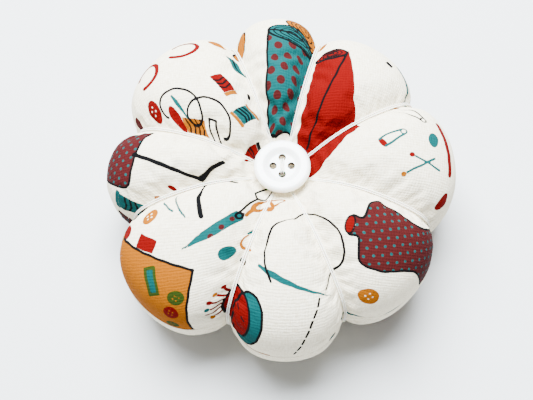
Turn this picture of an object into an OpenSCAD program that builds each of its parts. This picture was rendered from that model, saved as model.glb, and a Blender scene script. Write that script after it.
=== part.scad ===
// Flower pin cushion: a stuffed cotton cushion drawn into eight petals by doubled threads,
// with a four-hole button sewn into the top dimple and a backing button under the base.
// Millimetres, +Z up. The origin is on the axis of the core, on the surface it rests on.

/* [Petals] */
// Angle at which the first petal starts, seen from above
first_edge = -110; // [-130:1:-90]
// Angle that each petal takes between its two threads, adding up to 360
petal_widths = [43, 47, 50, 45, 35, 52, 35, 53]; // [33:1:60]
// Reach of each petal's crest from the core
petal_reaches = [58, 55.5, 56, 55, 57, 59.5, 56.5, 60.5]; // [53:0.5:62]
// Reach of the threads that lie between the petals
groove_reach = 49.5; // [46:0.5:51]
// Distance from a thread's middle line to where the cloth starts to swell
gutter = 0.65; // [0.6:0.05:0.8]

/* [Cushion profile] */
// Height of the rim seam
seam_z = 22.5; // [21:0.5:24]
// Rise of the petal crests above the rim seam, before the dimple
crest_rise = 22.8; // [20:0.2:24]
// Rise of the threads above the rim seam, before the dimple
groove_rise = 17.8; // [15:0.2:18]
// Drop of the petal crests below the rim seam, cut off flat where they rest
crest_drop = 25; // [24:0.5:27]
// Drop of the threads below the rim seam
groove_drop = 18.7; // [16:0.1:19]
// Height of the bottom of the top dimple
top_dimple_z = 30; // [29:0.5:31]
// Height of the roof of the base dimple
base_dimple_z = 9; // [8:0.5:10]
// Width of both dimples, from the core to where they have mostly faded
dimple_reach = 17; // [15:0.5:18]

/* [Cloth and thread] */
// Thickness of the printed cotton
cloth = 0.4; // [0.3:0.05:0.5]
// Width of the seam allowance turned in at the rim
allowance = 6; // [4:0.5:8]
// Radius of the hole that the needle leaves through the core
core_r = 2.3; // [2.2:0.1:2.8]
// Diameter of one strand of the doubled dividing thread
strand_d = 0.5; // [0.4:0.05:0.5]
// Diameter of the thread that holds the buttons
button_thread_d = 0.6; // [0.5:0.05:0.6]
// Length of one ladder stitch over the closed turning gap
ladder_stitch = 2.4; // [1.5:0.1:3]

/* [Buttons] */
// Diameter of the top button
top_button_d = 18; // [17:0.5:19]
// Height of the top button's rim
top_button_z = 36.8; // [36.6:0.1:38]
// Thickness of the top button
top_button_t = 2.6; // [2.4:0.1:2.6]
// Diameter of the backing button
base_button_d = 15; // [12:0.5:15]
// Height of the backing button's lower rim
base_button_z = 4.2; // [3.5:0.1:4.2]
// Thickness of the backing button
base_button_t = 2.2; // [2:0.1:2.2]
// Diameter of the thread holes in the top button
hole_d = 2.2; // [2:0.1:2.3]
// Diameter of the circle that the hole centres lie on
hole_circle_d = 5.8; // [5.6:0.1:6]

/* [Hidden] */

petals = len(petal_widths);
edges = [for (k = 0, at = first_edge; k < petals; at = at + petal_widths[k], k = k + 1) at];

// Roundness of the profile at the rim and at the shoulders, and of a petal across its width
rim_round = 0.71;
shoulder_round = 0.64;
swell_width = 2.18;
swell_round = 0.78;

// Steps across one petal, and from the core to the rim
across = 10;
down = 14;

strand_r = strand_d / 2;
strand_gap = 0.03;
// The two strands of a doubled thread lie this far to each side of its middle line
strand_side = 0.3;
strand_sides = 6;
corner_steps = 3;

button_thread_r = button_thread_d / 2;
// The two button threads lie this far to each side of the middle of the button
button_thread_side = 0.36;
// A stitch clears the button by this much where it goes over and under it
stitch_gap = 0.05;
// A stitch's leg stands this far from the hole's middle, towards the button's centre
leg_shift = 0.7;
dish_depth = 0.9;
dish_round = 0.8;

gap_petal = 4;
gap_stitches = 9;
seam_stitches = 13;
seam_thread_r = 0.18;

// ---- The lobed skin, as a surface of petal, place across the petal and profile angle ----

// 0 beside a thread and 1 on a petal's crest, for u from -1 to 1
function swell(u) = pow(1 - pow(abs(u), swell_width), swell_round);

function profile_r(reach, a) = core_r + (reach - core_r) * pow(max(cos(a), 0), rim_round);

// Height above or below the seam: a shoulder that falls into the dimple near the core
function profile_h(rise, pit, r, a) =
    rise * pow(abs(sin(a)), shoulder_round)
    - pit * exp((core_r * core_r - r * r) / (dimple_reach * dimple_reach));

function crest_z(r, a, inset) = a >= 0
    ? seam_z + profile_h(crest_rise - inset, seam_z + crest_rise - top_dimple_z, r, a)
    : seam_z - profile_h(crest_drop - inset, crest_drop - seam_z + base_dimple_z, r, a);

function groove_z(r, a, inset) = a >= 0
    ? seam_z + profile_h(groove_rise - inset, seam_z + groove_rise - top_dimple_z, r, a)
    : seam_z - profile_h(groove_drop - inset, groove_drop - seam_z + base_dimple_z, r, a);

// A point of the skin, inset mm inside its outer face, flat where the petal rests
function skin(k, u, a, inset) =
    let (
        rc = profile_r(petal_reaches[k] - inset, a),
        rg = profile_r(groove_reach - inset, a),
        s = swell(u),
        r = rg + s * (rc - rg),
        z = groove_z(rg, a, inset) + s * (crest_z(rc, a, inset) - groove_z(rg, a, inset)),
        beside = asin(gutter / rg),
        turn = edges[k] + petal_widths[k] / 2 + u * (petal_widths[k] / 2 - beside)
    )
    [r * cos(turn), r * sin(turn), max(z, inset)];

function inward(p, by) = let (r = norm([p.x, p.y])) [p.x * (r - by) / r, p.y * (r - by) / r, p.z];

function raised(p, by) = [p.x, p.y, p.z + by];

// Profile angles from the core, at 90, to the seam, at 0, closer together at both ends
angles = [for (i = [0:down]) 45 * (1 + cos(180 * i / down))];
places = [for (j = [0:across]) -cos(180 * j / across)];

function reversed(list) = [for (i = [len(list) - 1:-1:0]) list[i]];

// Half a cover's inner face, from the core to the seam allowance, and round its cut edge
function inner_wall(k, u, side) = concat(
    [for (i = [0:down - 1]) skin(k, u, side * angles[i], cloth)],
    [raised(skin(k, u, 0, cloth), side * cloth)],
    [raised(inward(skin(k, u, 0, cloth), allowance), side * cloth)]
);

function cover_section(k, u, side) = concat(
    [for (a = angles) skin(k, u, side * a, 0)],
    [inward(skin(k, u, 0, cloth), allowance)],
    reversed(inner_wall(k, u, side))
);

function stuffing_section(k, u) = concat(inner_wall(k, u, 1), reversed(inner_wall(k, u, -1)));

// Closes a ring of closed sections into one solid. Two solids that share a wall list its
// points in opposite directions, so one of them takes the other diagonal across its quads.
module ring_of(sections, other_diagonal = false) {
    m = len(sections);
    n = len(sections[0]);
    polyhedron(
        points = [for (s = sections) each s],
        faces = [for (i = [0:m - 1], j = [0:n - 1])
            let (
                a = i * n + j,
                b = i * n + (j + 1) % n,
                c = (i + 1) % m * n + (j + 1) % n,
                d = (i + 1) % m * n + j
            )
            each other_diagonal ? [[a, b, d], [b, c, d]] : [[a, b, c], [a, c, d]]]
    );
}

module top_cover() {
    color("ivory")
        ring_of([for (k = [0:petals - 1], u = places) reversed(cover_section(k, u, 1))]);
}

module bottom_cover() {
    color("ivory")
        ring_of([for (k = [0:petals - 1], u = places) cover_section(k, u, -1)]);
}

module stuffing() {
    color("white")
        ring_of([for (k = [0:petals - 1], u = places) reversed(stuffing_section(k, u))], true);
}

// ---- Seams ----

module at_rim(k, u, inset) {
    p = skin(k, u, 0, inset);
    translate(p) children();
}

// The machine stitches that pass through both seam allowances, just inside the rim
module rim_seam() {
    color("white")
        for (k = [0:petals - 1], i = [1:seam_stitches])
            at_rim(k, 2 * i / (seam_stitches + 1) - 1, cloth + 2 * seam_thread_r)
                cylinder(h = 2 * cloth, r = seam_thread_r, center = true, $fn = 16);
}

// Ladder stitches drawn over the gap that the cushion was turned and stuffed through
module closing_stitches() {
    color("white")
        for (i = [0:gap_stitches - 1])
            at_rim(gap_petal, i / (gap_stitches - 1) - 0.5, -seam_thread_r - strand_gap)
                cylinder(h = ladder_stitch, r = seam_thread_r, center = true, $fn = 16);
}

// ---- Dividing threads ----

groove_angles = concat([for (i = [1:down]) angles[i]], [for (i = [down - 1:-1:1]) -angles[i]]);
thread_off = strand_r + strand_gap;
// The skin runs straight across a gutter, so at the core it stands this far from the axis
gutter_core_r = sqrt(core_r * core_r - gutter * gutter);

// One strand's closed route as [distance from the core's axis, height]: out along the top of
// the groove, round the rim, back under the cushion and up through the core
function strand_route() = concat(
    [for (i = [0:corner_steps]) let (t = 90 * i / corner_steps)
        [gutter_core_r - thread_off * cos(t), top_dimple_z + thread_off * sin(t)]],
    [for (a = groove_angles) let (r = profile_r(groove_reach + thread_off, a))
        [r, groove_z(r, a, -thread_off)]],
    [for (i = [corner_steps:-1:0]) let (t = 90 * i / corner_steps)
        [gutter_core_r - thread_off * cos(t), base_dimple_z - thread_off * sin(t)]],
    [[gutter_core_r - thread_off, (top_dimple_z + base_dimple_z) / 2]]
);

// A ring of points round the route at point i, square to its direction there
function strand_ring(route, i, side) =
    let (
        n = len(route),
        before = route[(i + n - 1) % n],
        after = route[(i + 1) % n],
        along = (after - before) / norm(after - before),
        out = [along.y, -along.x]
    )
    [for (t = [0:strand_sides - 1]) let (q = 360 * t / strand_sides)
        [route[i].x + strand_r * cos(q) * out.x, side + strand_r * sin(q),
            route[i].y + strand_r * cos(q) * out.y]];

module strand(side) {
    route = strand_route();
    ring_of([for (i = [0:len(route) - 1]) strand_ring(route, i, side)]);
}

module dividing_thread(k) {
    color("white") rotate([0, 0, edges[k]]) {
        strand(-strand_side);
        strand(strand_side);
    }
}

// The knot that ties off the dividing thread, in the base dimple
module dividing_thread_knot() {
    knot_r = 0.42;
    loop_r = 0.5;
    from_axis = 4.4;
    drop = 1.65;
    color("white")
        rotate([0, 0, edges[2] + petal_widths[2] / 2])
            translate([from_axis, 0, base_dimple_z - drop]) {
                rotate_extrude($fn = 32) translate([loop_r, 0]) circle(r = knot_r, $fn = 24);
                sphere(r = loop_r, $fn = 24);
            }
}

// ---- Button thread ----

// The strands through the core, between the two buttons
module tie_thread() {
    at = 0.45;
    low = base_dimple_z - 1.6;
    high = top_dimple_z - 0.6;
    color("white")
        for (x = [-at, at], y = [-at, at])
            translate([x, y, low]) cylinder(h = high - low, r = button_thread_r, $fn = 24);
}

// Thread wound round the strands between the top button and the cloth
module top_thread_shank() {
    turns = 4;
    pitch = button_thread_d + 0.02;
    low = top_dimple_z - 0.2;
    core = 0.8;
    color("white") {
        translate([0, 0, low]) cylinder(h = (turns + 0.2) * pitch, r = core, $fn = 32);
        for (i = [0:turns - 1])
            translate([0, 0, low + (i + 0.6) * pitch])
                rotate_extrude($fn = 48) translate([core, 0]) circle(r = button_thread_r, $fn = 24);
    }
}

// A closed stitch round the land between two holes, standing in the YZ plane
module stitch_loop(leg_y, low, high) {
    bend = button_thread_r + stitch_gap;
    span = 2 * (leg_y - bend);
    rise = high - low - 2 * bend;
    translate([0, 0, (low + high) / 2]) rotate([90, 0, 90]) {
        for (s = [-1, 1]) {
            translate([0, s * (rise / 2 + bend), 0]) rotate([0, 90, 0])
                cylinder(h = span, r = button_thread_r, center = true, $fn = 24);
            translate([s * (span / 2 + bend), 0, 0]) rotate([90, 0, 0])
                cylinder(h = rise, r = button_thread_r, center = true, $fn = 24);
        }
        for (q = [0:3])
            translate([(q == 0 || q == 3 ? 1 : -1) * span / 2, (q < 2 ? 1 : -1) * rise / 2, 0])
                rotate([0, 0, 90 * q])
                    rotate_extrude(angle = 90, $fn = 48) translate([bend, 0])
                        circle(r = button_thread_r, $fn = 24);
    }
}

// Both strands' stitches, round a land that reaches from under to over
module button_stitches(circle_d, under, over) {
    leg_y = circle_d / 2 - leg_shift;
    off = button_thread_r + stitch_gap;
    for (x = [-button_thread_side, button_thread_side])
        translate([x, 0, 0]) stitch_loop(leg_y, under - off, over + off);
}

module top_button_stitches() {
    color("white")
        button_stitches(hole_circle_d, top_button_z - top_button_t, top_button_z - dish_depth);
}

module base_button_stitches() {
    color("white")
        button_stitches(hole_circle_d, base_button_z + dish_depth, base_button_z + base_button_t);
}

// The knot that ends the button thread, under the backing button
module base_knot() {
    knot_r = 0.35;
    loop_r = 0.55;
    tail = 2.5;
    z = base_button_z + dish_depth - 2 * button_thread_r - 2 * stitch_gap - knot_r;
    color("white") translate([0, 0, z]) {
        rotate_extrude($fn = 32) translate([loop_r, 0]) circle(r = knot_r, $fn = 24);
        for (s = [-1, 1])
            rotate([0, 0, 35 * s]) rotate([0, 90 * s, 0])
                cylinder(h = tail, r = button_thread_r * 0.8, $fn = 24);
    }
}

// ---- Buttons ----

// A four-hole button with a bead round its rim and a dish in its face, its back on z = 0
module four_hole_button(d, t, dish_d, circle_d, bore_d) {
    difference() {
        rotate_extrude($fn = 96) difference() {
            union() {
                square([d / 2 - t / 2, t]);
                translate([d / 2 - t / 2, t / 2]) circle(r = t / 2, $fn = 48);
            }
            translate([-1, t - dish_depth]) square([dish_d / 2 - dish_round + 1, t]);
            translate([dish_d / 2 - dish_round, t - dish_depth + dish_round])
                circle(r = dish_round, $fn = 48);
            translate([-d, -1]) square([d, t + 2]);
        }
        for (q = [0:3]) rotate([0, 0, 90 * q]) translate([circle_d / 2, 0, -1])
            cylinder(h = t + 2, r = bore_d / 2, $fn = 32);
    }
}

module top_button() {
    dish_d = 10.6;
    color("white") translate([0, 0, top_button_z - top_button_t])
        four_hole_button(top_button_d, top_button_t, dish_d, hole_circle_d, hole_d);
}

module base_button() {
    dish_d = 9.4;
    color("white") translate([0, 0, base_button_z + base_button_t]) mirror([0, 0, 1])
        four_hole_button(base_button_d, base_button_t, dish_d, hole_circle_d, hole_d);
}

top_cover();
bottom_cover();
stuffing();
rim_seam();
closing_stitches();
dividing_thread(0);  // dividing_thread_1
dividing_thread(1);  // dividing_thread_2
dividing_thread(2);  // dividing_thread_3
dividing_thread(3);  // dividing_thread_4
dividing_thread(4);  // dividing_thread_5
dividing_thread(5);  // dividing_thread_6
dividing_thread(6);  // dividing_thread_7
dividing_thread(7);  // dividing_thread_8
dividing_thread_knot();
tie_thread();
top_thread_shank();
top_button();
top_button_stitches();
base_button();
base_button_stitches();
base_knot();
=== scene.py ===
"""The looks of a flower pin cushion: printed cotton over fibrefill, doubled thread, two buttons."""
import math

import bpy
import numpy as np
from mathutils import Matrix, Vector


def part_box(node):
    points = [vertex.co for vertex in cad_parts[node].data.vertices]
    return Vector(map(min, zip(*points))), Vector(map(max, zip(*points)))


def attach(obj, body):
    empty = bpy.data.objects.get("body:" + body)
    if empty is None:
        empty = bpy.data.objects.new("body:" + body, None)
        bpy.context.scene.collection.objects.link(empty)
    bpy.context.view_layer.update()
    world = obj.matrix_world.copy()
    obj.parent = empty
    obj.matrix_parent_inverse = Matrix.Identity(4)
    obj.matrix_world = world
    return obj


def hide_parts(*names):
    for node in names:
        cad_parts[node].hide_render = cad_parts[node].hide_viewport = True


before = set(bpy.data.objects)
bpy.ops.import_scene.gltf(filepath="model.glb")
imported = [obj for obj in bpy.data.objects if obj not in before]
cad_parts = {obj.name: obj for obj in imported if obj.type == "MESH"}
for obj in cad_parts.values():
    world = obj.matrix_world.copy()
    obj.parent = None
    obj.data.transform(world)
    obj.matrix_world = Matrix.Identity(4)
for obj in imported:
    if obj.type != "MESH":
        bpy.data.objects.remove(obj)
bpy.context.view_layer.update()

MM = 0.001

# ---- The cushion's shape, in millimetres, by the same rules as its CAD solids ----

FIRST_EDGE = -110
PETAL_WIDTHS = (43, 47, 50, 45, 35, 52, 35, 53)
PETAL_REACHES = (58, 55.5, 56, 55, 57, 59.5, 56.5, 60.5)
GROOVE_REACH = 49.5
GUTTER = 0.65
CORE_R = 2.3
SEAM_Z = 22.5
CREST_RISE, CREST_DROP = 22.8, 25
GROOVE_RISE, GROOVE_DROP = 17.8, 18.7
TOP_DIMPLE_Z, BASE_DIMPLE_Z = 30, 9
DIMPLE_REACH = 17
SWELL_WIDTH, SWELL_ROUND = 2.18, 0.78
RIM_ROUND, SHOULDER_ROUND = 0.71, 0.64

PETALS = len(PETAL_WIDTHS)
EDGES = [FIRST_EDGE + sum(PETAL_WIDTHS[:k]) for k in range(PETALS)]


def profile_r(reach, a):
    return CORE_R + (reach - CORE_R) * np.maximum(np.cos(a), 0) ** RIM_ROUND


def profile_z(rise, drop, r, a):
    """Height at profile angle a, from pi/2 at the top of the core to -pi/2 under it"""
    shoulder = np.abs(np.sin(a)) ** SHOULDER_ROUND
    dimple = np.exp((CORE_R ** 2 - r ** 2) / DIMPLE_REACH ** 2)
    above = SEAM_Z + rise * shoulder - (SEAM_Z + rise - TOP_DIMPLE_Z) * dimple
    below = SEAM_Z - drop * shoulder + (drop - SEAM_Z + BASE_DIMPLE_Z) * dimple
    return np.where(a >= 0, above, below)


def skin(k, u, a, inset=0.0):
    """Points of petal k's skin at places u, -1 to 1 across it, and profile angles a"""
    rc = profile_r(PETAL_REACHES[k] - inset, a)
    rg = profile_r(GROOVE_REACH - inset, a)
    s = np.maximum(1 - np.abs(u) ** SWELL_WIDTH, 0) ** SWELL_ROUND
    zc = profile_z(CREST_RISE - inset, CREST_DROP - inset, rc, a)
    zg = profile_z(GROOVE_RISE - inset, GROOVE_DROP - inset, rg, a)
    r = rg + s * (rc - rg)
    z = np.maximum(zg + s * (zc - zg), inset)
    turn = petal_angle(k, u, rg)
    return np.stack([r * np.cos(turn), r * np.sin(turn), z], axis=-1)


def petal_angle(k, u, rg):
    beside = np.arcsin(np.minimum(GUTTER / rg, 1))
    half = math.radians(PETAL_WIDTHS[k]) / 2
    return math.radians(EDGES[k]) + half + u * (half - beside)


def fabric_reach(a):
    """How far from the disc's centre the flat cloth holds the ring at profile angle a"""
    steps = np.linspace(math.pi / 2, 0, 2001)
    r = profile_r(np.mean(PETAL_REACHES), steps)
    z = profile_z(CREST_RISE, CREST_DROP, r, steps)
    along = np.concatenate([[0], np.cumsum(np.hypot(np.diff(r), np.diff(z)))])
    return CORE_R + np.interp(-np.abs(a), -steps, along)


# ---- Meshes ----

def new_piece(name, points, faces, smooth=True):
    """A mesh object at the origin, from points in millimetres"""
    mesh = bpy.data.meshes.new(name)
    mesh.from_pydata((np.asarray(points) * MM).tolist(), [], faces)
    mesh.validate()
    if smooth:
        mesh.shade_smooth()
    piece = bpy.data.objects.new(name, mesh)
    bpy.context.scene.collection.objects.link(piece)
    return piece


def choose(piece):
    bpy.ops.object.select_all(action="DESELECT")
    piece.select_set(True)
    bpy.context.view_layer.objects.active = piece


def apply_modifiers(piece):
    choose(piece)
    for m in list(piece.modifiers):
        bpy.ops.object.modifier_apply(modifier=m.name)


def points_of(mesh):
    flat = np.empty(len(mesh.vertices) * 3, np.float32)
    mesh.vertices.foreach_get("co", flat)
    return flat.reshape(-1, 3).astype(float)


def grid_faces(rows, columns, closed_rows=False):
    """Quads of a sheet whose columns close round the core, and whose rows may close too"""
    faces = []
    for i in range(rows if closed_rows else rows - 1):
        below = (i + 1) % rows
        for j in range(columns):
            beside = (j + 1) % columns
            faces.append((i * columns + j, below * columns + j, below * columns + beside, i * columns + beside))
    return faces


# ---- The cloth: blown up against its threads, so that it puckers beside them ----

ROWS = 52           # rows of cloth from the core to the rim, on each side
COLUMNS = 28        # columns of cloth across one petal
SIM_SCALE = 5.0     # the cloth solver works on a cushion this many times larger
SIM_FRAMES = 18
EASE = 0.05         # how much longer the cloth is cut than the shape it covers
PUCKER_CAP = 1.3    # how far a pucker may move the cloth, in millimetres
PUCKER_GAIN = 1.5   # the solver's cloth is stiffer than washed cotton, so its puckers are deepened
PUFF_CAP = 0.15     # how far the pressure may move the whole surface


def places_across():
    even = np.linspace(-1, 1, COLUMNS)
    crowded = -np.cos(np.pi * np.linspace(0, 1, COLUMNS))
    return 0.55 * even + 0.45 * crowded


def profile_angles():
    """From the top of the core to the rim and back under to the core, closer at all three"""
    t = np.linspace(0, 1, ROWS + 1)
    crowded = (1 + np.cos(np.pi * t)) / 2
    top = (math.pi / 2) * (0.25 * (1 - t) + 0.75 * crowded)
    return np.concatenate([top, -top[-2::-1]])


def cushion_grid(inset=0.0):
    """Points and flat cloth places, each as rows by columns"""
    a = profile_angles()[:, None]
    u = places_across()[None, :]
    reach = fabric_reach(a)
    points, flat = [], []
    for k in range(PETALS):
        points.append(skin(k, u, a, inset))
        turn = petal_angle(k, u, profile_r(GROOVE_REACH, a))
        flat.append(np.stack([reach * np.cos(turn), reach * np.sin(turn)], axis=-1))
    return np.concatenate(points, axis=1), np.concatenate(flat, axis=1)


def smoothed(field, passes):
    """Averages each point of a grid with its neighbours; columns close round the core"""
    for _ in range(passes):
        field = (np.roll(field, 1, axis=1) + 2 * field + np.roll(field, -1, axis=1)) / 4
        up = np.concatenate([field[:1], field[:-1]])
        down = np.concatenate([field[1:], field[-1:]])
        field = (up + 2 * field + down) / 4
    return field


def capped(moves, most):
    size = np.linalg.norm(moves, axis=-1, keepdims=True)
    return moves * (most * np.tanh(size / most) / np.maximum(size, 1e-9))


def held_by_thread(shape):
    """1 beside a thread and at the core, where the cloth can't move"""
    held = np.zeros(shape)
    held[:, ::COLUMNS] = 1
    held[:, COLUMNS - 1::COLUMNS] = 1
    held[:2] = 1
    held[-2:] = 1
    return held


def blown_up(grid):
    """Runs the cloth solver on the whole skin and returns how far each point moves, in mm"""
    rows, columns, _ = grid.shape
    start = grid.reshape(-1, 3) * SIM_SCALE
    skin_faces = grid_faces(rows, columns, closed_rows=True)
    piece = new_piece("cloth_sim", start, skin_faces)
    pins = piece.vertex_groups.new(name="held")
    held = held_by_thread((rows, columns)).ravel()
    pins.add([int(i) for i in np.flatnonzero(held)], 1.0, "REPLACE")
    cloth = piece.modifiers.new("cloth", "CLOTH").settings
    cloth.quality = 6
    cloth.mass = 0.15
    cloth.tension_stiffness = 20
    cloth.compression_stiffness = 20
    cloth.shear_stiffness = 6
    cloth.bending_stiffness = 0.02
    cloth.tension_damping = 10
    cloth.compression_damping = 10
    cloth.air_damping = 4
    cloth.use_pressure = True
    cloth.uniform_pressure_force = 5
    cloth.shrink_min = -EASE
    cloth.vertex_group_mass = "held"
    cloth.effector_weights.gravity = 0
    scene = bpy.context.scene
    piece.modifiers["cloth"].point_cache.frame_end = SIM_FRAMES
    for step in range(1, SIM_FRAMES + 1):
        scene.frame_set(step)
    apply_modifiers(piece)
    moved = points_of(piece.data) / MM / SIM_SCALE
    scene.frame_set(1)
    bpy.data.objects.remove(piece)
    return moved.reshape(grid.shape) - grid


def puckered(grid):
    """The skin after the solver: its fine puckers in full, its overall swelling held back"""
    moves = blown_up(grid)
    overall = smoothed(moves, 60)
    result = grid + capped(PUCKER_GAIN * (moves - overall), PUCKER_CAP) + capped(overall, PUFF_CAP)
    result[..., 2] = np.maximum(result[..., 2], 0)
    return result


# ---- The print: common sewing notions on cream, in millimetres on the flat cloth ----

FAR = 9.0           # stands for a place that an ink is nowhere near
INKS = ("orange", "red", "dark_red", "green", "teal", "black")
HAIR, PEN, BROAD = 0.6, 0.82, 1.5


def curve(points, closed=False, steps=6):
    """A smooth curve through the points"""
    p = np.array(points, float)
    if closed:
        p = np.concatenate([p[-1:], p, p[:2]])
    else:
        p = np.concatenate([[2 * p[0] - p[1]], p, [2 * p[-1] - p[-2]]])
    t = np.linspace(0, 1, steps, endpoint=False)[:, None]
    spans = []
    for a, b, c, d in zip(p[:-3], p[1:-2], p[2:-1], p[3:]):
        spans.append(0.5 * (2 * b + (c - a) * t + (2 * a - 5 * b + 4 * c - d) * t ** 2
                            + (3 * b - a - 3 * c + d) * t ** 3))
    return np.concatenate(spans if closed else [*spans, p[-2:-1]])


def turned(points, degrees):
    c, s = math.cos(math.radians(degrees)), math.sin(math.radians(degrees))
    return np.asarray(points, float) @ np.array([[c, s], [-s, c]])


def to_line(p, line):
    """Distance from each point to a run of straight pieces"""
    best = np.full(len(p), FAR)
    for a, b in zip(line[:-1], line[1:]):
        along = b - a
        t = np.clip((p - a) @ along / max(along @ along, 1e-9), 0, 1)
        best = np.minimum(best, np.linalg.norm(p - a - t[:, None] * along, axis=1))
    return best


def to_patch(p, outline):
    """Distance to a closed outline, negative inside it"""
    ring = np.concatenate([outline, outline[:1]])
    inside = np.zeros(len(p), bool)
    for (x0, y0), (x1, y1) in zip(ring[:-1], ring[1:]):
        if y0 != y1:
            crosses = (y0 > p[:, 1]) != (y1 > p[:, 1])
            inside ^= crosses & (p[:, 0] < (x1 - x0) * (p[:, 1] - y0) / (y1 - y0) + x0)
    return to_line(p, ring) * np.where(inside, -1, 1)


def to_dots(p, pitch, r):
    """Distance to a staggered field of dots"""
    rows = np.array([pitch, pitch * 1.7])
    even = p - np.round(p / rows) * rows
    odd = p - rows / 2
    odd = odd - np.round(odd / rows) * rows
    return np.minimum(np.linalg.norm(even, axis=1), np.linalg.norm(odd, axis=1)) - r


class Printing:
    """For each ink, the distance from every point of the cloth to what that ink covers"""

    def __init__(self, places):
        x, y = places.T
        # A hand-drawn line wanders a little
        wander = np.stack([np.sin(y * 1.1) + np.sin(x * 0.7 + 2), np.cos(x * 1.3) + np.sin(y * 0.8)])
        self.places = places + 0.07 * wander.T
        self.inks = {name: np.full(len(places), FAR) for name in INKS}

    def near(self, points, margin):
        low, high = np.min(points, axis=0) - margin, np.max(points, axis=0) + margin
        return np.flatnonzero(np.all((self.places > low) & (self.places < high), axis=1))

    def lay(self, ink, where, distance):
        self.inks[ink][where] = np.minimum(self.inks[ink][where], distance)

    def spare(self, ink, where, distance):
        self.inks[ink][where] = np.maximum(self.inks[ink][where], -distance)

    def line(self, ink, points, width=PEN, smooth=True):
        points = curve(points) if smooth else np.array(points, float)
        where = self.near(points, width + 1)
        self.lay(ink, where, to_line(self.places[where], points) - width / 2)

    def patch(self, ink, points, smooth=True, outline=0.0, over=()):
        """A filled shape, with a black outline if it has a width, over the inks it hides"""
        points = curve(points, closed=True) if smooth else np.array(points, float)
        where = self.near(points, 2)
        distance = to_patch(self.places[where], points)
        for hidden in over:
            self.spare(hidden, where, distance)
        if ink:
            self.lay(ink, where, distance)
        if outline:
            self.lay("black", where, np.abs(distance) - outline / 2)

    def dotted(self, ink, dot_ink, points, pitch, r, turn=0, outline=PEN, smooth=True):
        points = curve(points, closed=True) if smooth else np.array(points, float)
        where = self.near(points, 2)
        shape = to_patch(self.places[where], points)
        dots = to_dots(turned(self.places[where], -turn), pitch, r)
        self.lay(ink, where, np.maximum(shape, -0.15 - dots))
        self.lay(dot_ink, where, np.maximum(shape, dots))
        if outline:
            self.lay("black", where, np.abs(shape) - outline / 2)

    def oval(self, ink, at, half, turn=0, outline=0.0, over=()):
        t = np.linspace(0, 2 * np.pi, 24, endpoint=False)
        ring = turned(np.stack([half[0] * np.cos(t), half[1] * np.sin(t)], axis=1), turn) + at
        self.patch(ink, ring, smooth=False, outline=outline, over=over)

    def ring(self, ink, at, half, turn=0, width=PEN):
        t = np.linspace(0, 2 * np.pi, 25)
        loop = turned(np.stack([half[0] * np.cos(t), half[1] * np.sin(t)], axis=1), turn) + at
        self.line(ink, loop, width, smooth=False)

    def button(self, ink, at, half, turn=0):
        """A sew-through button: an oval with four cream holes"""
        self.oval(ink, at, half, turn)
        for x, y in ((1, 0), (0, 1), (-1, 0), (0, -1)):
            hole = turned([(x * half[0] * 0.34, y * half[1] * 0.34)], turn)[0] + at
            where = self.near(hole[None], 1.5)
            self.spare(ink, where, np.linalg.norm(self.places[where] - hole, axis=1) - 0.3)

    def box(self, ink, at, size, turn=0, outline=0.0, over=()):
        x, y = size[0] / 2, size[1] / 2
        corners = turned([(-x, -y), (x, -y), (x, y), (-x, y)], turn) + at
        self.patch(ink, corners, smooth=False, outline=outline, over=over)

    def reel(self, thread, at, size, turn=0, ends=("orange", "orange"), windings=4):
        """A reel of thread, seen from the side, with loose black windings across it"""
        length, width = size
        cap = length * 0.14
        self.box(thread, at, (length - 2 * cap, width * 0.86), turn)
        for side, end in zip((-1, 1), ends):
            if end:
                offset = turned([(side * (length - cap) / 2, 0)], turn)[0]
                self.box(end, offset + at, (cap, width), turn)
        for i in range(windings):
            x = (i - (windings - 1) / 2) * length * 0.15
            bow = [(x - 0.4, -width * 0.4), (x + 0.5, -width * 0.1), (x - 0.3, width * 0.4)]
            self.line("black", turned(bow, turn) + at, HAIR)

    def pin(self, head, at, tip, head_r=0.95, stem="teal"):
        self.line(stem, [at, tip], PEN, smooth=False)
        self.oval(head, at, (head_r, head_r), over=(stem,))

    def spiral(self, at, half, turn=0, rounds=3):
        """The rolled end of a length of cloth"""
        t = np.linspace(0, 2 * np.pi * rounds, 16 * rounds)
        size = np.linspace(0.15, 0.92, len(t))
        loop = np.stack([half[0] * size * np.cos(t), half[1] * size * np.sin(t)], axis=1)
        self.line("black", turned(loop, turn) + at, HAIR * 0.8, smooth=False)

    def dashes(self, points, dash, gap, width=PEN):
        path = curve(points)
        along = np.concatenate([[0], np.cumsum(np.linalg.norm(np.diff(path, axis=0), axis=1))])
        for start in np.arange(0, along[-1] - dash, dash + gap):
            ends = [[np.interp(s, along, path[:, i]) for i in (0, 1)] for s in (start, start + dash)]
            self.line("black", ends, width, smooth=False)

    def sweep(self, ink, at, half, start, end, turn=0, width=PEN):
        """Part of an oval ring, between two angles"""
        t = np.radians(np.linspace(start, end, 24))
        loop = turned(np.stack([half[0] * np.cos(t), half[1] * np.sin(t)], axis=1), turn) + at
        self.line(ink, loop, width, smooth=False)

    def needle(self, eye, point, wide):
        eye, point = np.array(eye, float), np.array(point, float)
        ahead = point - eye
        side = turned([ahead], 90)[0] * wide / 2 / np.linalg.norm(ahead)
        broad = eye + 0.2 * ahead
        self.patch("teal", [eye + side / 2, broad + side, point, broad - side, eye - side / 2], smooth=False)

    def loose_thread(self, start, end, loops, r):
        """A thread that rolls over in loops on its way"""
        start, end = np.array(start, float), np.array(end, float)
        t = np.linspace(0, 1, 30 * loops)
        swing = 2 * np.pi * loops * t
        heading = math.degrees(math.atan2(*(end - start)[::-1]))
        rolls = turned(np.stack([-r * np.sin(swing), r - r * np.cos(swing)], axis=1), heading)
        self.line("black", start + t[:, None] * (end - start) + rolls, PEN, smooth=False)

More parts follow.
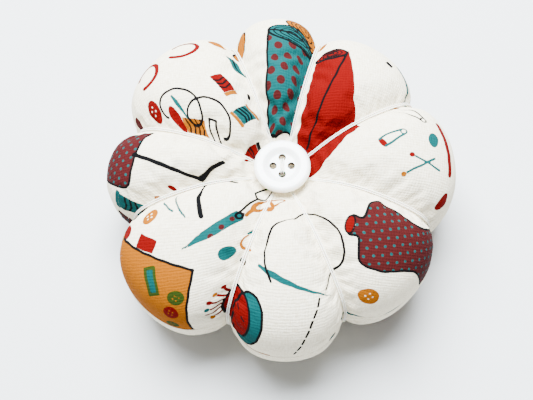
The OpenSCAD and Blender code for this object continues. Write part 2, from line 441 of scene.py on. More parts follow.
    def safety_pin(self, ink, cap, at, length, turn):
        half = length / 2
        self.line(ink, turned([(half, 1), (0, 2), (-half, 1.5)], turn) + at, PEN)
        self.line(ink, turned([(half, -1), (-half, -1.5)], turn) + at, PEN, smooth=False)
        self.ring(ink, turned([(half + 0.5, 0)], turn)[0] + at, (1, 1), 0, HAIR)
        if cap:
            self.oval(cap, turned([(-half, 0)], turn)[0] + at, (1, 2), turn)


def draw_cloth_roll(cloth, ink, end, foot, wide, narrow, dots=None):
    """A roll of cloth seen along its length: a tapering body, then its coiled end"""
    end, foot = np.array(end, float), np.array(foot, float)
    heading = math.degrees(math.atan2(*(end - foot)[::-1])) - 90
    tall = np.linalg.norm(end - foot)
    body = turned([(-wide, tall), (wide, tall), (narrow, 4), (0, 0), (-narrow, 4)], heading) + foot
    if dots:
        cloth.dotted(ink, dots, body, 5, 1.6, turn=15, smooth=False)
    else:
        cloth.patch(ink, body, smooth=False)
    cloth.oval(ink, end, (wide, wide * 0.45), heading, outline=PEN, over=("dark_red", "orange"))
    cloth.spiral(end, (wide, wide * 0.42), heading, rounds=3)


def draw_cloth_rolls(cloth):
    cloth.oval("orange", (8, 56), (7, 5), -30, outline=HAIR)
    cloth.spiral((8, 56), (6.5, 4.5), -30, rounds=3)
    draw_cloth_roll(cloth, "teal", (4, 50), (-2, 12), 9, 5, dots="dark_red")
    # The red cloth lies open at its foot, across the next petal
    cloth.patch("red", [(14, 44), (25, 44), (27, 24), (31, 16), (18, 2), (7, -5), (4, 6)], smooth=False)
    draw_cloth_roll(cloth, "red", (19, 44), (10, 8), 5.5, 5)
    cloth.line("black", [(24, 42), (9, 8)], PEN)
    cloth.oval("orange", (17, 54), (2, 1), 20)
    cloth.oval("orange", (-17, 53), (2.5, 6), -15, outline=HAIR)


def draw_reels(cloth):
    cloth.reel("red", (-21, 28), (10, 5), -50, ends=(None, "orange"), windings=3)
    cloth.reel("teal", (-14, 18), (8, 6), 45, windings=3)
    cloth.reel("teal", (-60, -15), (11, 8), -55, ends=("teal", "black"), windings=3)
    cloth.reel("orange", (-33, 14), (12, 5), -15, ends=(None, None), windings=4)
    cloth.oval("red", (-39, 17), (2, 4), 10)
    cloth.box(None, (-26, 12), (2.5, 6), -15, outline=PEN)
    cloth.loose_thread((-42, 18), (-23, 10), 2, 5)
    cloth.needle((-38, 24), (-32, 12), 1.5)
    cloth.reel("red", (-11, 6), (9, 4), 25, ends=("red", "black"), windings=2)


# Half of a tailor's dress form, neck to hem, as shares of its height
DRESS_FORM_HALF = [(0.07, 0.5), (0.08, 0.42), (0.25, 0.36), (0.26, 0.2), (0.2, 0.05), (0.17, -0.08),
                   (0.23, -0.26), (0.26, -0.5)]


def draw_dress_form(cloth, at, tall, turn):
    whole = DRESS_FORM_HALF + [(-x, y) for x, y in DRESS_FORM_HALF[::-1]]
    cloth.dotted("dark_red", "teal", turned(np.array(whole) * tall, turn) + at, 3, 0.5, turn=10)
    neck = turned([(0, tall / 2)], turn)[0] + at
    cloth.oval("red", neck, (0.07 * tall, 1.5), turn, outline=HAIR, over=("dark_red", "teal", "black"))


def draw_dress_forms(cloth):
    draw_dress_form(cloth, (45, -32), 44, 75)
    draw_dress_form(cloth, (-71, 7), 40, 76)
    # The second form's pole and feet
    cloth.line("black", [(-51, 2), (-32, -8)], BROAD, smooth=False)
    cloth.line("black", [(-32, -8), (-22, -1)], BROAD, smooth=False)
    cloth.line("black", [(-31, -10), (-26, -22)], BROAD, smooth=False)
    cloth.line("black", [(-31, -9), (-18, -7)], PEN, smooth=False)


def draw_scissors(cloth):
    """Closed scissors: a patterned blade, a pivot and two finger loops"""
    pivot, turn = np.array((-15, -22)), 210

    def at(x, y):
        return turned([(x, y)], turn)[0] + pivot

    blade = [(20, 0), (9, 2), (0, 2), (-2, 0), (0, -2), (9, -1.5)]
    cloth.dotted("teal", "dark_red", turned(blade, turn) + pivot, 4, 1, turn=40, outline=0, smooth=False)
    cloth.ring("black", pivot, (1, 1), 0, PEN)
    cloth.line("black", [at(0, -1), at(-9, -4)], PEN, smooth=False)
    cloth.ring("black", at(-13, -6), (4.5, 2), turn + 25, PEN)
    cloth.line("orange", [at(-2, 1), at(-5, 0)], BROAD, smooth=False)
    cloth.ring("orange", at(-9, 0), (4, 2), turn, BROAD)
    cloth.ring("orange", (-2, -14), (3.5, 1.5), 40, PEN)


def draw_needles_and_pins(cloth):
    # A needle trailing its thread, and the running stitches it has made
    cloth.sweep("black", (8, -36), (14, 14), 215, -60)
    cloth.needle((-8, -40), (18, -51), 2)
    cloth.dashes([(12, -50), (8, -60), (3, -72)], 2, 1.2)
    cloth.pin("red", (45, 1), (55, -3))
    cloth.pin("orange", (43, -6), (53, 1))
    cloth.safety_pin("teal", "red", (39, 7), 8, 35)
    cloth.safety_pin("black", None, (48, 20), 9, -55)
    cloth.line("teal", [(-44, -16), (-36, -20)], HAIR, smooth=False)
    cloth.line("teal", [(-40, -14), (-31, -22)], HAIR, smooth=False)
    cloth.oval("orange", (46, 26), (2, 0.6), 20)


def draw_small_pin_cushion(cloth):
    heads = ("red", "orange", "red", "teal", "red", "orange")
    for i, head in enumerate(heads):
        lean = math.radians(110 + 18 * i)
        base = np.array((-18, -56))
        cloth.pin(head, base + 9 * np.array((math.cos(lean), math.sin(lean))), base, 0.8, stem="red")
    cloth.oval("teal", (-13, -59), (6, 11), -20, outline=PEN, over=("red", "orange"))
    cloth.oval("red", (-17, -58), (6, 9), -20, outline=PEN, over=("teal",))
    for x, y in ((-16, -54), (-14, -57), (-17, -60)):
        cloth.line("black", [(x, y), (x + 1, y - 1)], HAIR, smooth=False)


def draw_patch_pocket(cloth):
    cloth.patch("orange", [(-66, -22), (-28, -38), (-36, -65), (-48, -58), (-68, -42)], smooth=False,
                outline=PEN)
    cloth.box("red", (-43, -29), (7, 4), -20)
    cloth.line("black", [(-66, -22), (-28, -38)], PEN, smooth=False)
    cloth.box("green", (-41, -40), (4, 9), 5)
    cloth.box("teal", (-41, -40), (2, 7), 5)
    cloth.button("green", (-34, -46), (2.5, 2.5))
    cloth.button("red", (-37, -51), (2.5, 2.5))
    cloth.button("green", (-40, -57), (2.5, 2))
    cloth.oval("red", (-54, -25), (3, 2), -30)


def draw_buttons_and_scraps(cloth):
    cloth.sweep("red", (-35, 43), (5, 4), -150, 120, 20, BROAD)
    cloth.sweep("red", (-47, 34), (5, 4), -160, 110, 60, BROAD)
    cloth.oval("orange", (-25, 50), (3, 2), -5)
    cloth.button("red", (-47, 21), (3, 3.5), -10)
    cloth.box("teal", (-18, 41), (3, 8), 35)
    cloth.line("black", [(-20, 44), (-16, 38)], HAIR, smooth=False)
    cloth.oval("black", (-13, 27), (0.6, 1.5), 10)
    cloth.oval("dark_red", (-60, 22), (3, 2), 35)
    cloth.oval("red", (-42, -11), (1, 1), 20)
    cloth.oval("orange", (-49, -14), (1.2, 0.8), 30)
    cloth.button("orange", (-45, -21), (2.5, 2.5))
    cloth.oval("teal", (-19, -35), (2.5, 2.5))
    cloth.oval("black", (-15, -41), (1, 1.5), 20)
    cloth.sweep("orange", (-13, -34), (2, 3), 90, 290, 0, PEN)
    cloth.oval("teal", (-12, -30), (1.2, 0.8), 0)
    cloth.button("orange", (31, -50), (3.5, 3))
    cloth.needle((24, -64), (37, -61), 2.4)
    cloth.needle((42, -60), (51, -52), 2.4)
    cloth.oval("teal", (53, 8), (2, 3), -10)
    cloth.line("red", [(57, 16), (59, 7), (60, -3)], 2.2)
    cloth.oval("red", (60, -13), (2, 3.5), -12)
    cloth.box("black", (40, 41), (3, 2), -40)
    cloth.line("teal", [(45, 43), (50, 36), (53, 28)], 2)
    cloth.line("orange", [(-17, -71), (-11, -72), (-5, -72)], 1.2)
    cloth.oval("teal", (20, -69), (1.5, 2.5), 20, outline=HAIR)


def printed(places):
    """All the drawings, on cloth whose points lie at these flat places"""
    cloth = Printing(places)
    for draw in (draw_cloth_rolls, draw_reels, draw_dress_forms, draw_scissors, draw_patch_pocket,
                 draw_small_pin_cushion, draw_needles_and_pins, draw_buttons_and_scraps):
        draw(cloth)
    return cloth.inks


# ---- Cloth pieces ----

FLAT_SPAN = 160.0       # millimetres of flat cloth across the whole of the UV square
ALLOWANCE_MM = 6.0
TURN_IN_MM = 0.5


def with_turned_edges(points, flat, rim_first):
    """Adds the seam allowance inside the rim and the edge pulled down into the core"""
    rim, core = (0, -1) if rim_first else (-1, 0)
    lift = TURN_IN_MM * (1 if points[core, 0, 2] > points[rim, 0, 2] else -1)

    def inward(row, by, rise):
        r = np.linalg.norm(row[:, :2], axis=1, keepdims=True)
        return np.concatenate([row[:, :2] * (r - by) / r, row[:, 2:] + rise], axis=1)

    rim_rows = [inward(points[rim], by, lift * min(by, 1)) for by in (0.35, 1.2, ALLOWANCE_MM)]
    core_rows = [inward(points[core], by, -lift * fall) for by, fall in ((0.15, 1.2), (0.2, 5))]
    flat_rim = [inward_flat(flat[rim], -by) for by in (0.35, 1.2, ALLOWANCE_MM)]
    flat_core = [inward_flat(flat[core], by) for by in (0.6, 1.6)]
    if rim_first:
        rows = [*rim_rows[::-1], *points, *core_rows]
        flats = [*flat_rim[::-1], *flat, *flat_core]
    else:
        rows = [*core_rows[::-1], *points, *rim_rows]
        flats = [*flat_core[::-1], *flat, *flat_rim]
    return np.stack(rows), np.stack(flats)


def inward_flat(row, by):
    r = np.linalg.norm(row, axis=1, keepdims=True)
    return row * (r - by) / r


def cloth_piece(name, points, flat, print_turn, rim_first):
    """One cut disc of cloth, with its print as distances on its points"""
    points, flat = with_turned_edges(points, flat, rim_first)
    rows, columns, _ = points.shape
    piece = new_piece(name, points.reshape(-1, 3), grid_faces(rows, columns))
    mesh = piece.data
    uv = mesh.uv_layers.new(name="flat_cloth")
    corner_points = np.empty(len(mesh.loops), np.int32)
    mesh.loops.foreach_get("vertex_index", corner_points)
    uv.data.foreach_set("uv", (flat.reshape(-1, 2)[corner_points] / FLAT_SPAN + 0.5).ravel())
    finer = piece.modifiers.new("finer", "SUBSURF")
    finer.levels = finer.render_levels = 2
    apply_modifiers(piece)
    mesh = piece.data
    mesh.shade_smooth()
    store_inks(mesh, print_turn)
    return piece


def store_inks(mesh, print_turn):
    corner_points = np.empty(len(mesh.loops), np.int32)
    mesh.loops.foreach_get("vertex_index", corner_points)
    corner_uv = np.empty(len(mesh.loops) * 2, np.float32)
    mesh.uv_layers["flat_cloth"].data.foreach_get("uv", corner_uv)
    places = np.zeros((len(mesh.vertices), 2))
    places[corner_points] = (corner_uv.reshape(-1, 2) - 0.5) * FLAT_SPAN
    for ink, distance in printed(turned(places, print_turn)).items():
        mesh.attributes.new("ink_" + ink, "FLOAT", "POINT").data.foreach_set("value", distance)


# ---- Thread ----

TWIST_MM = 1.5      # length along a strand in which its two plies go once round each other


def resampled(path, step):
    path = np.asarray(path, float)
    along = np.concatenate([[0], np.cumsum(np.linalg.norm(np.diff(path, axis=0), axis=1))])
    count = max(int(round(along[-1] / step)), 4)
    at = np.linspace(0, along[-1], count + 1)
    return np.stack([np.interp(at, along, path[:, i]) for i in range(3)], axis=1)


def two_ply(path, radius, closed=False, sides=8, step=0.22):
    """Points and faces of a strand of two plies twisted together along a path"""
    path = resampled(path, step)
    if closed:
        path = path[:-1]
    count = len(path)
    ahead = np.roll(path, -1, axis=0) - np.roll(path, 1, axis=0)
    if not closed:
        ahead[0], ahead[-1] = path[1] - path[0], path[-1] - path[-2]
    ahead /= np.linalg.norm(ahead, axis=1, keepdims=True)
    side = np.zeros_like(path)
    side[0] = np.cross(ahead[0], (0.3, 0.5, 0.81))
    side[0] /= np.linalg.norm(side[0])
    for i in range(1, count):
        side[i] = side[i - 1] - ahead[i] * (side[i - 1] @ ahead[i])
        side[i] /= np.linalg.norm(side[i])
    other = np.cross(ahead, side)
    q = np.arange(sides) * 2 * np.pi / sides
    whole_turns = max(round(count * step / TWIST_MM), 1)
    twist = np.arange(count) * 2 * np.pi * whole_turns / count
    reach = radius * (0.74 + 0.26 * np.abs(np.cos(q)))
    angle = q[None, :] + twist[:, None]
    points = (path[:, None] + reach[None, :, None] * (np.cos(angle)[..., None] * side[:, None]
              + np.sin(angle)[..., None] * other[:, None])).reshape(-1, 3)
    faces = []
    for i in range(count if closed else count - 1):
        n = (i + 1) % count
        for j in range(sides):
            m = (j + 1) % sides
            faces.append((i * sides + j, i * sides + m, n * sides + m, n * sides + j))
    if not closed:
        faces.append(tuple(range(sides))[::-1])
        faces.append(tuple((count - 1) * sides + j for j in range(sides)))
    return points, faces


def thread_piece(name, strands):
    """One piece from several (points, faces) strands"""
    points, faces = [], []
    for p, f in strands:
        faces += [tuple(i + len(points) for i in face) for face in f]
        points += p.tolist()
    return new_piece(name, points, faces)


STRAND_R = 0.25
STRAND_SIDE = 0.3           # how far each of the two strands lies beside the middle of its groove
THREAD_OFF = STRAND_R + 0.03


def dividing_route(side, slack):
    """Up the core, out along the top of a groove, round the rim and back under"""
    quarter = np.radians(np.linspace(0, 90, 7))
    core = math.sqrt(CORE_R ** 2 - GUTTER ** 2)
    top = [(core - THREAD_OFF * math.cos(t), TOP_DIMPLE_Z + THREAD_OFF * math.sin(t)) for t in quarter]
    a = np.linspace(math.pi / 2, -math.pi / 2, 181)[3:-3]
    r = profile_r(GROOVE_REACH + THREAD_OFF, a)
    z = profile_z(GROOVE_RISE + THREAD_OFF, GROOVE_DROP + THREAD_OFF, r, a)
    base = [(core - THREAD_OFF * math.cos(t), BASE_DIMPLE_Z - THREAD_OFF * math.sin(t)) for t in quarter[::-1]]
    outline = np.array([*top, *zip(r, z), *base, top[0]])
    place = np.linspace(0, 1, len(outline))
    drift = side * STRAND_SIDE + slack * 0.06 * np.sin(2 * np.pi * place * 3)
    return np.stack([outline[:, 0], drift, outline[:, 1]], axis=1)


def dividing_thread(k):
    turn = Matrix.Rotation(math.radians(EDGES[k]), 3, "Z")
    spin = np.array(turn)
    strands = []
    for side, slack in ((-1, 1), (1, 0.6)):
        path = dividing_route(side, slack) @ spin.T
        strands.append(two_ply(path, STRAND_R, closed=True))
    return thread_piece(f"doubled_thread_{k + 1}", strands)


def stitch_path(x, leg_y, low, high, bend=0.35):
    """A closed stitch over a bar, in a plane across X"""
    corners = [(leg_y - bend, high - bend, 0), (-(leg_y - bend), high - bend, 90),
               (-(leg_y - bend), low + bend, 180), (leg_y - bend, low + bend, 270)]
    loop = []
    for y, z, start in corners:
        for t in np.radians(np.linspace(start, start + 90, 6)):
            loop.append((x, y + bend * math.cos(t), z + bend * math.sin(t)))
    return [*loop, loop[0]]


# ---- Buttons ----

def spun_profile(name, profile, steps=96):
    """A round piece from an open outline of (r, z) points, spun about the core's axis"""
    mesh = bpy.data.meshes.new(name)
    edges = [(i, i + 1) for i in range(len(profile) - 1)]
    mesh.from_pydata([(r * MM, 0, z * MM) for r, z in profile], edges, [])
    piece = bpy.data.objects.new(name, mesh)
    bpy.context.scene.collection.objects.link(piece)
    choose(piece)
    bpy.ops.object.mode_set(mode="EDIT")
    bpy.ops.mesh.select_all(action="SELECT")
    bpy.ops.mesh.spin(steps=steps, angle=2 * math.pi, center=(0, 0, 0), axis=(0, 0, 1))
    bpy.ops.mesh.select_all(action="SELECT")
    bpy.ops.mesh.remove_doubles(threshold=0.000002)
    bpy.ops.mesh.normals_make_consistent(inside=False)
    bpy.ops.object.mode_set(mode="OBJECT")
    return piece


def drill(piece, circle_r, hole_r, low, high):
    """Four holes through a button, each with a softened edge"""
    for q in range(4):
        at = (circle_r * math.cos(q * math.pi / 2) * MM, circle_r * math.sin(q * math.pi / 2) * MM)
        bpy.ops.object.select_all(action="DESELECT")
        bpy.ops.mesh.primitive_cylinder_add(vertices=40, radius=hole_r * MM, depth=(high - low) * MM,
                                            location=(*at, (low + high) / 2 * MM))
        bit = bpy.context.active_object
        cut = piece.modifiers.new("hole", "BOOLEAN")
        cut.object, cut.operation, cut.solver = bit, "DIFFERENCE", "EXACT"
        apply_modifiers(piece)
        bpy.data.objects.remove(bit)
    rounding = piece.modifiers.new("edges", "BEVEL")
    rounding.width, rounding.segments = 0.12 * MM, 3
    rounding.limit_method, rounding.angle_limit = "ANGLE", math.radians(50)
    apply_modifiers(piece)
    choose(piece)
    bpy.ops.object.shade_smooth_by_angle(angle=math.radians(40))


def arc(centre, r, start, end, steps=8):
    """Points (r, z) of an arc, in degrees"""
    t = np.radians(np.linspace(start, end, steps))
    return [(centre[0] + r * math.cos(a), centre[1] + r * math.sin(a)) for a in t]


def button_profile(d, t, dish_r, dish_depth):
    """A smooth domed rim that runs down into a soft dish; the flat back is at z = 0"""
    round_r = t / 2
    floor_r, crest_r = dish_r - 1.3, dish_r + 1.2
    fall = [(floor_r + (crest_r - floor_r) * i / 10, t - dish_depth * (1 - (3 - 2 * i / 10) * (i / 10) ** 2))
            for i in range(11)]
    return [(0.0001, t - dish_depth), *fall, *arc((d / 2 - round_r, t - round_r), round_r, 84, -84, 18),
            (d / 2 - round_r - 1.4, 0.0), (0.0001, 0.0)]


HOLE_CIRCLE_R, HOLE_R = 2.9, 1.2
TOP_BUTTON_D, TOP_DISH_R = 18, 5.2
BASE_BUTTON_D, BASE_DISH_R = 15, 4.2
DISH_DEPTH = 0.9


def button_piece(name, d, t, dish_r, dish_depth, z, face_down=False):
    piece = spun_profile(name, button_profile(d, t, dish_r, dish_depth))
    drill(piece, HOLE_CIRCLE_R, HOLE_R, -1, t + 1)
    flip = Matrix.Rotation(math.pi, 4, "X") if face_down else Matrix.Identity(4)
    piece.data.transform(Matrix.Translation((0, 0, z * MM)) @ flip)
    return piece


# ---- Materials ----

def rgb(hexes):
    """An sRGB hex colour as linear red, green, blue and alpha"""
    parts = [int(hexes[i:i + 2], 16) / 255 for i in (1, 3, 5)]
    return (*[c / 12.92 if c <= 0.04045 else ((c + 0.055) / 1.055) ** 2.4 for c in parts], 1.0)


def add(tree, kind, inputs=(), **settings):
    """Adds a node with its settings; an input is a value or another node's output"""
    node = tree.nodes.new(kind)
    for key, value in settings.items():
        setattr(node, key, value)
    for key, value in dict(inputs).items():
        if isinstance(value, bpy.types.NodeSocket):
            tree.links.new(value, node.inputs[key])
        else:
            node.inputs[key].default_value = value
    return node


def new_material(name):
    material = bpy.data.materials.new(name)
    material.use_nodes = True
    material.node_tree.nodes.clear()
    return material, material.node_tree


def finish_material(tree, surface):
    add(tree, "ShaderNodeOutputMaterial", {"Surface": surface.outputs[0]})


# The inks lie deep in the cloth's bright light, so they are darker here than they look
INK_COLOURS = {
    "orange": "#7A4200", "red": "#510101", "dark_red": "#330D0D",
    "green": "#222F0A", "teal": "#053B3B", "black": "#060607",
}
WEAVE_MM = 0.96     # the real threads lie about 0.36 mm apart, too fine to show, so they are drawn coarser
WAVE_BANDS = 20     # a wave texture of scale 1 goes through this many radians in one unit


def weave_heights(tree, places):
    """Warp over weft: two sets of ridges, with a slub here and there"""
    scale = 2 * math.pi * FLAT_SPAN / WEAVE_MM / WAVE_BANDS
    ridges = []
    for direction in ("X", "Y"):
        ridges.append(add(tree, "ShaderNodeTexWave", {"Vector": places, "Scale": scale, "Distortion": 3.0,
                                                      "Detail": 3.0, "Detail Scale": 2.0},
                          wave_type="BANDS", bands_direction=direction, wave_profile="SIN"))
    crossed = add(tree, "ShaderNodeMath", {0: ridges[0].outputs["Fac"], 1: ridges[1].outputs["Fac"]},
                  operation="ADD")
    return crossed.outputs[0]


def streaks(tree, places, scale, detail=3.0):
    """Noise drawn out along one direction of the cloth, as uneven yarn is"""
    stretch = add(tree, "ShaderNodeMapping", {"Vector": places, "Scale": scale})
    return add(tree, "ShaderNodeTexNoise", {"Vector": stretch.outputs[0], "Scale": 1.0, "Detail": detail,
                                            "Roughness": 0.6}).outputs["Fac"]


def printed_cotton():
    """Plain-weave quilting cotton, reactive-printed: matt, a little slubbed, inks sunk into the yarn"""
    material, tree = new_material("printed_quilting_cotton")
    places = add(tree, "ShaderNodeUVMap", uv_map="flat_cloth").outputs[0]
    weave = weave_heights(tree, places)
    weft = streaks(tree, places, (60, 520, 1))
    warp = streaks(tree, places, (520, 70, 1))
    slubs = add(tree, "ShaderNodeMath", {0: weft, 1: warp}, operation="ADD").outputs[0]
    bleed = add(tree, "ShaderNodeMath", {0: slubs, 1: 0.1, 2: -0.1}, operation="MULTIPLY_ADD").outputs[0]
    shade = add(tree, "ShaderNodeMapRange", {"Value": slubs, "From Min": 0.7, "From Max": 1.3})
    colour = between(tree, shade.outputs[0], rgb("#D4C5A6"), rgb("#F9F1DC"))
    for ink in INKS:
        distance = add(tree, "ShaderNodeAttribute", attribute_name="ink_" + ink).outputs["Fac"]
        ragged = add(tree, "ShaderNodeMath", {0: distance, 1: bleed}, operation="ADD").outputs[0]
        covered = add(tree, "ShaderNodeMapRange", {"Value": ragged, "From Min": 0.1, "From Max": -0.1,
                                                   "To Max": 1.0}, interpolation_type="SMOOTHSTEP")
        deep, pale = rgb(INK_COLOURS[ink]), lighter(rgb(INK_COLOURS[ink]))
        dye = between(tree, shade.outputs[0], deep, pale)
        colour = between(tree, covered.outputs[0], colour, dye)
    height = add(tree, "ShaderNodeMath", {0: slubs, 1: 2.2, 2: weave}, operation="MULTIPLY_ADD").outputs[0]
    bump = add(tree, "ShaderNodeBump", {"Height": height, "Strength": 0.45, "Distance": 0.00012})
    surface = add(tree, "ShaderNodeBsdfPrincipled", {"Base Color": colour, "Roughness": 0.88,
                  "Specular IOR Level": 0.04, "Normal": bump.outputs[0]})
    finish_material(tree, surface)
    return material


def lighter(colour):
    """The same ink where the raised yarn holds less of it"""
    return (*[1.3 * c for c in colour[:3]], 1.0)


def between(tree, share, a, b):
    """The colour output of a mix from colour a to colour b"""
    mix = add(tree, "ShaderNodeMix", {0: share, 6: a, 7: b}, data_type="RGBA")
    return mix.outputs[2]


def sewing_thread():
    """White spun cotton thread: two plies, a soft sheen, fine loose fibres"""
    material, tree = new_material("white_cotton_thread")
    places = add(tree, "ShaderNodeTexCoord").outputs["Object"]
    fuzz = add(tree, "ShaderNodeTexNoise", {"Vector": places, "Scale": 2600.0, "Detail": 3.0}).outputs["Fac"]
    tone = between(tree, fuzz, rgb("#E4DDCF"), rgb("#FAF6EC"))
    bump = add(tree, "ShaderNodeBump", {"Height": fuzz, "Strength": 0.4, "Distance": 0.00006})
    surface = add(tree, "ShaderNodeBsdfPrincipled", {"Base Color": tone, "Roughness": 0.62,
                  "Sheen Weight": 0.3, "Sheen Roughness": 0.4, "Subsurface Weight": 0.15,
                  "Subsurface Scale": 0.0004, "Normal": bump.outputs[0]})
    finish_material(tree, surface)
    return material


def button_resin():
    """White polyester button, tumble-polished: a soft gloss, light passing a little way in"""
    material, tree = new_material("polished_white_polyester")
    places = add(tree, "ShaderNodeTexCoord").outputs["Object"]
    cloud = add(tree, "ShaderNodeTexNoise", {"Vector": places, "Scale": 160.0, "Detail": 2.0}).outputs["Fac"]
    tone = between(tree, cloud, rgb("#F2F1ED"), rgb("#FBFAF8"))
    scuffs = add(tree, "ShaderNodeTexNoise", {"Vector": places, "Scale": 1400.0, "Detail": 2.0}).outputs["Fac"]
    polish = add(tree, "ShaderNodeMapRange", {"Value": scuffs, "To Min": 0.2, "To Max": 0.36})
    bump = add(tree, "ShaderNodeBump", {"Height": cloud, "Strength": 0.08, "Distance": 0.0002})
    surface = add(tree, "ShaderNodeBsdfPrincipled", {"Base Color": tone,
                  "Roughness": polish.outputs[0], "IOR": 1.55, "Subsurface Weight": 0.12,
                  "Subsurface Scale": 0.0015, "Coat Weight": 0.15, "Coat Roughness": 0.15,
                  "Normal": bump.outputs[0]})
    finish_material(tree, surface)
    return material


def hole_shade_resin():
    """The walls of the button holes: matt polyester painted dark brown, as painted shade for the shade that
    falls inside the holes
    """
    material, tree = new_material("white_polyester_painted_hole_shade")
    places = add(tree, "ShaderNodeTexCoord").outputs["Object"]
    hole_shade_mottle = add(tree, "ShaderNodeTexNoise", {"Vector": places, "Scale": 900.0, "Detail": 2.0}).outputs["Fac"]
    # Painted shade: dark browns stand in for the shade inside the holes, mottled at random
    tone = between(tree, hole_shade_mottle, rgb("#3E3226"), rgb("#6E5F4C"))
    surface = add(tree, "ShaderNodeBsdfPrincipled", {"Base Color": tone, "Roughness": 0.7, "IOR": 1.55})
    finish_material(tree, surface)
    return material


def fibrefill():
    """Carded polyester fibre: bright white, with strands lying in every direction"""
    material, tree = new_material("carded_polyester_fibrefill")
    places = add(tree, "ShaderNodeTexCoord").outputs["Object"]
    tufts = add(tree, "ShaderNodeTexNoise", {"Vector": places, "Scale": 90.0, "Detail": 6.0,
                                             "Distortion": 2.5}).outputs["Fac"]
    tone = between(tree, tufts, rgb("#E4E4E2"), rgb("#FFFFFF"))
    bump = add(tree, "ShaderNodeBump", {"Height": tufts, "Strength": 0.8, "Distance": 0.001})
    surface = add(tree, "ShaderNodeBsdfPrincipled", {"Base Color": tone, "Roughness": 0.95,
                  "Sheen Weight": 0.5, "Normal": bump.outputs[0]})
    finish_material(tree, surface)
    return material


def studio_floor():
    """Matt white card, the studio sweep that the cushion rests on"""
    material, tree = new_material("matt_white_card")
    places = add(tree, "ShaderNodeTexCoord").outputs["Object"]
    grain = add(tree, "ShaderNodeTexNoise", {"Vector": places, "Scale": 400.0, "Detail": 2.0}).outputs["Fac"]
    bump = add(tree, "ShaderNodeBump", {"Height": grain, "Strength": 0.03, "Distance": 0.0001})
    surface = add(tree, "ShaderNodeBsdfPrincipled", {"Base Color": rgb("#CDCDCD"), "Roughness": 0.8,
                  "Specular IOR Level": 0.2, "Normal": bump.outputs[0]})
    finish_material(tree, surface)
    return material


def dress(piece, material):
    piece.data.materials.clear()
    piece.data.materials.append(material)


# ---- Making the pieces ----

COTTON, THREAD, RESIN, FIBRE = printed_cotton(), sewing_thread(), button_resin(), fibrefill()
# The dark finish for the insides of the button holes is painted shade
HOLE_SHADE_RESIN = hole_shade_resin()


def place(piece, body, slot, material, *nodes):
    dress(piece, material)
    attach(piece, body)
    if nodes:
        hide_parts(*nodes)
    return piece


BASE_PRINT_TURN = 130       # degrees that the base disc's print is turned from the top's
FILLING_INSET, FILLING_SINK = 2.0, 1.5
BUTTON_STRAND_R = 0.3
STITCH_LEG, STITCH_SIDE = 2.2, 0.36
SHANK_TURNS, SHANK_COIL_R = 4.5, 0.8


def make_cloths():
    grid, flat = cushion_grid()
    grid = puckered(grid)
    top = cloth_piece("top_cloth", grid[:ROWS + 1], flat[:ROWS + 1], 0, rim_first=False)
    base = cloth_piece("base_cloth", grid[ROWS:], flat[ROWS:], BASE_PRINT_TURN, rim_first=True)
    place(top, "cushion", "printed_cotton", COTTON, "top_cover")
    place(base, "cushion", "printed_cotton", COTTON, "bottom_cover")


def make_filling():
    """The fibre's outer surface, kept clear of the cloth's puckers"""
    grid, _ = cushion_grid(inset=FILLING_INSET)
    grid = grid[1:-1:2, ::2]
    sunk = FILLING_SINK * np.exp(-(np.linalg.norm(grid[..., :2], axis=-1) / DIMPLE_REACH) ** 2)
    grid[..., 2] -= sunk * np.sign(grid[..., 2] - SEAM_Z)
    rows, columns, _ = grid.shape
    piece = new_piece("fibre_filling", grid.reshape(-1, 3), grid_faces(rows, columns, closed_rows=True))
    place(piece, "cushion", "polyester_fibrefill", FIBRE, "stuffing")


def make_dividing_threads():
    for k in range(PETALS):
        place(dividing_thread(k), "cushion", "dividing_thread", THREAD, f"dividing_thread_{k + 1}")


def paint_hole_shade(button):
    """The walls of a button's holes take the painted hole shade: a dark material standing in for the shade
    inside them
    """
    button.data.materials.append(HOLE_SHADE_RESIN)
    for face in button.data.polygons:
        x, y = abs(face.center.x) / MM, abs(face.center.y) / MM
        from_hole = min(math.hypot(x - HOLE_CIRCLE_R, y), math.hypot(x, y - HOLE_CIRCLE_R))
        if from_hole < HOLE_R + 0.03 and abs(face.normal.z) < 0.5:
            face.material_index = 1


def make_buttons():
    low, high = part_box("top_button")
    top_z = high.z / MM
    thick = (high.z - low.z) / MM
    top = button_piece("shirt_button", TOP_BUTTON_D, thick, TOP_DISH_R, DISH_DEPTH, top_z - thick)
    place(top, "top_button", "button_resin", RESIN, "top_button")
    paint_hole_shade(top)
    low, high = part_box("base_button")
    thick = (high.z - low.z) / MM
    base = button_piece("backing_button", BASE_BUTTON_D, thick, BASE_DISH_R, DISH_DEPTH, high.z / MM,
                        face_down=True)
    place(base, "base_button", "button_resin", RESIN, "base_button")
    paint_hole_shade(base)


def make_button_stitches():
    for node, body in (("top_button_stitches", "top_button"), ("base_button_stitches", "base_button")):
        low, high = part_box(node)
        bottom, top = low.z / MM + BUTTON_STRAND_R, high.z / MM - BUTTON_STRAND_R
        strands = [two_ply(stitch_path(x, STITCH_LEG, bottom, top), BUTTON_STRAND_R, closed=True, sides=10,
                           step=0.12) for x in (-STITCH_SIDE, STITCH_SIDE)]
        place(thread_piece(node + "_twisted", strands), body, "button_thread", THREAD, node)


def make_shank():
    low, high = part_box("top_thread_shank")
    r = BUTTON_STRAND_R
    bottom, top = low.z / MM, high.z / MM
    t = np.linspace(0, 1, 160)
    round_it = 2 * np.pi * SHANK_TURNS * t
    coil = np.stack([SHANK_COIL_R * np.cos(round_it), SHANK_COIL_R * np.sin(round_it),
                     bottom + r + t * (top - bottom - 2 * r)], axis=1)
    posts = [two_ply([(x, y, bottom), (x, y, top)], r) for x in (-r, r) for y in (-r, r)]
    piece = thread_piece("wound_shank", [two_ply(coil, r, step=0.12), *posts])
    place(piece, "top_shank", "button_thread", THREAD, "top_thread_shank")


def keep_cad_threads():
    """CAD pieces whose shape is right keep it and take the thread's finish"""
    for node in ("rim_seam", "closing_stitches", "dividing_thread_knot", "tie_thread", "base_knot"):
        dress(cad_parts[node], THREAD)


# ---- Studio ----

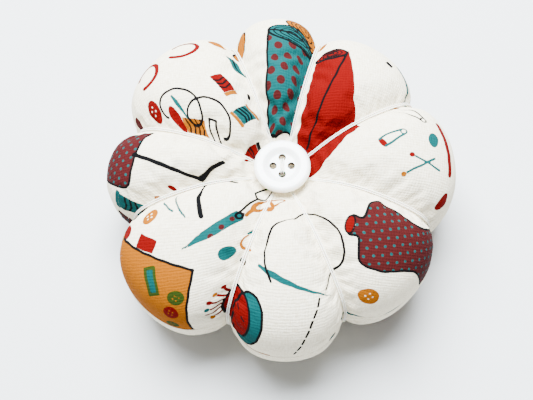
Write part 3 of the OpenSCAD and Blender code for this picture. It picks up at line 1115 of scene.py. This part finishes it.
CAMERA_DISTANCE = 0.352
CAMERA_ELEVATION = math.radians(67.8)
CAMERA_AZIMUTH = math.radians(2.3)
CAMERA_ROLL = math.radians(-2.2)
CAMERA_LENS = 71.9      # millimetres, on a 36 mm wide sensor


def make_camera():
    camera = bpy.data.objects.new("camera", bpy.data.cameras.new("camera"))
    bpy.context.scene.collection.objects.link(camera)
    camera.data.sensor_width = 36
    camera.data.lens = CAMERA_LENS
    camera.data.clip_start, camera.data.clip_end = 0.01, 10
    e, a = CAMERA_ELEVATION, CAMERA_AZIMUTH
    back = Vector((math.sin(a) * math.cos(e), -math.cos(a) * math.cos(e), math.sin(e)))
    right = Vector((math.cos(a), math.sin(a), 0))
    up = back.cross(right)
    roll = CAMERA_ROLL
    right, up = math.cos(roll) * right + math.sin(roll) * up, -math.sin(roll) * right + math.cos(roll) * up
    target = Vector((0, 0, 0.020)) - 0.0052 * right - 0.00485 * up
    camera.matrix_world = Matrix.Translation(target + CAMERA_DISTANCE * back) @ \
        Matrix((right, up, back)).transposed().to_4x4()
    bpy.context.scene.camera = camera


def area_light(name, at, aim, size, watts, colour="#FFFFFF"):
    light = bpy.data.objects.new(name, bpy.data.lights.new(name, "AREA"))
    light.data.shape = "RECTANGLE"
    light.data.size, light.data.size_y = size
    light.data.energy = watts
    light.data.color = rgb(colour)[:3]
    light.location = at
    light.rotation_mode = "QUATERNION"
    light.rotation_quaternion = (Vector(aim) - Vector(at)).to_track_quat("-Z", "Y")
    bpy.context.scene.collection.objects.link(light)


def make_studio():
    bpy.ops.object.select_all(action="DESELECT")
    bpy.ops.mesh.primitive_plane_add(size=4, location=(0, 0, -0.0002))
    floor = bpy.context.active_object
    floor.name = "floor"
    dress(floor, studio_floor())
    area_light("overhead", (-0.1, 0.46, 0.94), (0, 0, 0), (0.78, 0.78), 118, "#F1F9FF")
    world = bpy.data.worlds.new("studio")
    world.use_nodes = True
    world.node_tree.nodes["Background"].inputs["Color"].default_value = rgb("#F2F6F8")
    world.node_tree.nodes["Background"].inputs["Strength"].default_value = 0.5
    bpy.context.scene.world = world


make_camera()
make_studio()
make_cloths()
make_filling()
make_dividing_threads()
make_buttons()
make_button_stitches()
make_shank()
keep_cad_threads()
